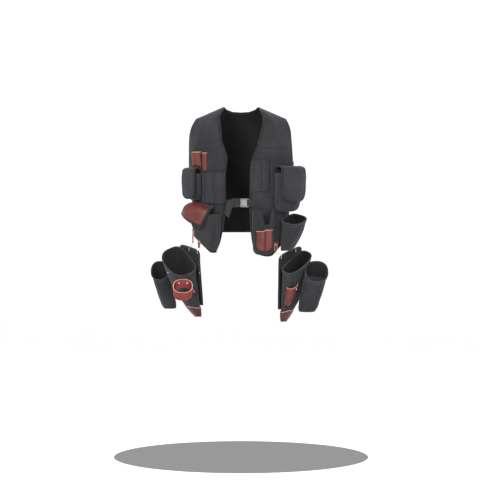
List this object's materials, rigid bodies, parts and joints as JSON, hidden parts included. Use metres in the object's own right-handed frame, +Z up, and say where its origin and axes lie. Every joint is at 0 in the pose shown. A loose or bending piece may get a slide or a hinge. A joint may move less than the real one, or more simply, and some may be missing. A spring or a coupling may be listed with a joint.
{
  "type": "utility work vest",
  "caption": "Open black nylon tool vest with chest and lower pockets, leather sleeves, a buckled front strap and two hip bags on hooks.",
  "frame": {"origin": "middle of the top of the wearer's shoulders, halfway between the two sides, where the vest hangs", "axes": "+Z up, -Y to the wearer's front, +X to the wearer's left"},
  "size_m": [0.6881, 0.3135, 0.8379],
  "materials": {
    "nylon": "heavy woven nylon, matt with a slight sheen",
    "binding": "woven tape and webbing, matt",
    "leather": "oiled burgundy leather with pale cut edges",
    "black_plastic": "moulded, matt",
    "grey_plastic": "moulded, satin",
    "steel": "bright wire"
  },
  "bodies": {
    "root": {"front_panel_r": "nylon", "front_panel_l": "nylon", "back_panel": "nylon", "chest_tool_pocket_r": "nylon", "leather_punch_sleeve_r": "leather", "leather_punch_pocket_r": "leather", "small_flap_pouch_r": "nylon", "small_flap_r": "nylon", "lower_pouch_r": "nylon", "lower_flap_r": "binding", "leather_flap_panel_r": "leather", "chest_pen_pocket_l": "nylon", "chest_card_pocket_l": "nylon", "big_flap_pouch_l": "nylon", "big_flap_l": "nylon", "knife_pocket_l": "nylon", "leather_double_holster_l": "leather", "side_pouch_l": "nylon", "hip_bag_r": "nylon", "hip_bag_tip_r": "leather", "hip_bag_back_r": "nylon", "hip_bag_l": "nylon", "hip_bag_tip_l": "leather", "hip_bag_back_l": "nylon", "tube_holster_r": "nylon", "outer_pouch_l": "nylon", "leather_tool_ring_r": "leather", "plier_holster_l": "leather", "leather_strip_r": "leather", "strap_r": "binding", "strap_slider": "black_plastic", "buckle_male": "black_plastic", "buckle_female": "grey_plastic", "strap_l": "binding", "strap_tail": "binding", "clip_tab_front_r": "leather", "hook_front_r": "steel", "clip_tab_rear_r": "leather", "hook_rear_r": "steel", "clip_tab_front_l": "leather", "hook_front_l": "steel", "clip_tab_rear_l": "leather", "hook_rear_l": "steel"}
  },
  "joints": []
}
